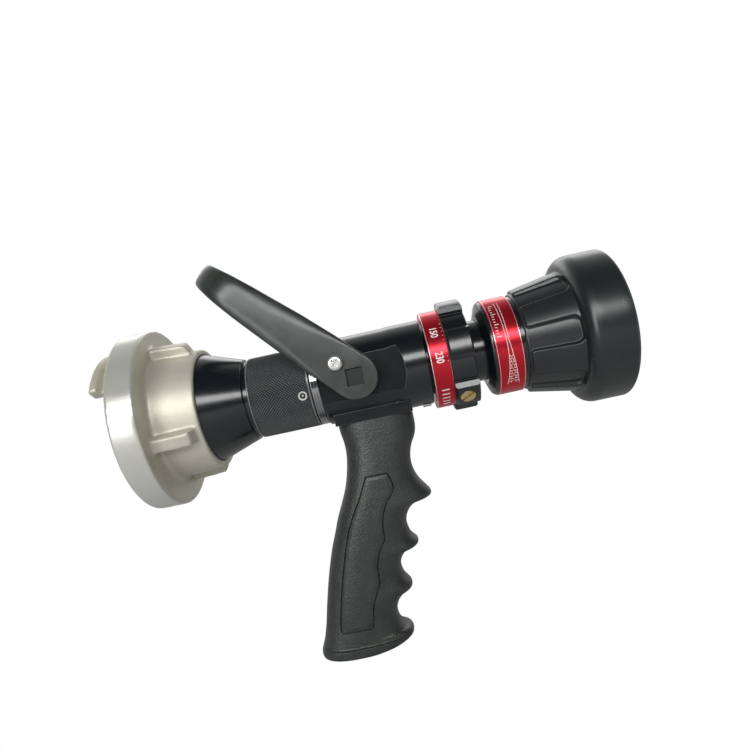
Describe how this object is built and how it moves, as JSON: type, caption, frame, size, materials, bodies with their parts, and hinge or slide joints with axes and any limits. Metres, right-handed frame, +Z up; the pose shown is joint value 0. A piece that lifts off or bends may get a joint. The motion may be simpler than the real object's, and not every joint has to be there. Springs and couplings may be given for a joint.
{
  "type": "fire hose nozzle",
  "caption": "Hand-held fire hose nozzle with a swivelling lug coupling, bail-operated ball valve, pistol grip, flow selector ring and a twist pattern sleeve with a rubber bumper.",
  "frame": {"origin": "centre of the inlet sealing face", "axes": "+X along the waterway to the outlet, +Z up, pistol grip along -Z, near side of the bail handle on -Y"},
  "size_m": [0.2735, 0.098, 0.2305],
  "materials": {
    "cast_alloy": "blasted casting",
    "black_anodised": "glossy hard anodised",
    "bare_alloy": "machined",
    "red_anodised": "anodised",
    "seal_rubber": "matt",
    "bumper_rubber": "satin",
    "handle_plastic": "satin moulded",
    "grip_plastic": "satin, grained panels",
    "seat_plastic": "smooth",
    "steel": "machined",
    "zinc_screw": "bright plated",
    "brass": "turned"
  },
  "bodies": {
    "valve_body": {"valve_body": "black_anodised", "inlet_adapter": "bare_alloy", "swivel_oring": "seal_rubber", "rear_seat": "seat_plastic", "front_seat": "seat_plastic", "seat_gasket": "seal_rubber", "front_barrel": "black_anodised", "barrel_oring": "seal_rubber", "index_pointer": "black_anodised", "pistol_grip": "grip_plastic", "grip_bolt": "steel", "grip_washer": "steel"},
    "bail": {"bail_handle": "handle_plastic", "valve_ball": "steel", "near_stem": "steel", "far_stem": "steel", "drive_plates": "steel", "bail_screws": "zinc_screw", "stem_seals": "seal_rubber"},
    "inlet_swivel": {"swivel_collar": "black_anodised", "inlet_tailpiece": "black_anodised", "face_seal": "seal_rubber", "tail_gasket": "seal_rubber", "swivel_balls": "steel", "race_plug": "zinc_screw", "snap_wire": "steel"},
    "lug_ring": {"lug_ring": "cast_alloy"},
    "flow_selector": {"flow_selector_ring": "black_anodised", "flow_scale_ring": "red_anodised", "selector_screw": "brass", "detent_ball": "steel", "detent_spring": "steel"},
    "baffle": {"metering_sleeve": "bare_alloy", "baffle_stem": "steel", "baffle_head": "bare_alloy", "baffle_nut": "steel"},
    "sleeve_travel": {"wiper_seal": "seat_plastic"},
    "pattern_sleeve": {"pattern_sleeve": "black_anodised", "pattern_band": "red_anodised", "rubber_bumper": "bumper_rubber", "spray_teeth": "bumper_rubber", "guide_pin": "steel"}
  },
  "joints": [
    {"name": "bail_hinge", "type": "hinge", "parent": "valve_body", "child": "bail", "pos_m": [0.1203, 0, 0], "axis": [0, 1, 0], "range_deg": [0, 90]},
    {"name": "inlet_turn", "type": "hinge", "parent": "valve_body", "child": "inlet_swivel", "pos_m": [0.08, 0, 0], "axis": [1, 0, 0], "continuous": true},
    {"name": "lug_ring_turn", "type": "hinge", "parent": "inlet_swivel", "child": "lug_ring", "pos_m": [0.02, 0, 0], "axis": [1, 0, 0], "continuous": true},
    {"name": "flow_select", "type": "hinge", "parent": "valve_body", "child": "flow_selector", "pos_m": [0.1755, 0, 0], "axis": [1, 0, 0], "range_deg": [0, 160]},
    {"name": "baffle_travel", "type": "slide", "parent": "valve_body", "child": "baffle", "axis": [1, 0, 0], "range_m": [-0.004, 0]},
    {"name": "pattern_twist", "type": "hinge", "parent": "sleeve_travel", "child": "pattern_sleeve", "pos_m": [0.2, 0, 0], "axis": [1, 0, 0], "range_deg": [0, 120]},
    {"name": "pattern_travel", "type": "slide", "parent": "valve_body", "child": "sleeve_travel", "axis": [1, 0, 0], "range_m": [-0.006, 0]}
  ],
  "couplings": [
    {"joint": "baffle_travel", "follows": "flow_select", "m_per_rad": -0.0014324},
    {"joint": "pattern_travel", "follows": "pattern_twist", "m_per_rad": -0.0028648}
  ]
}
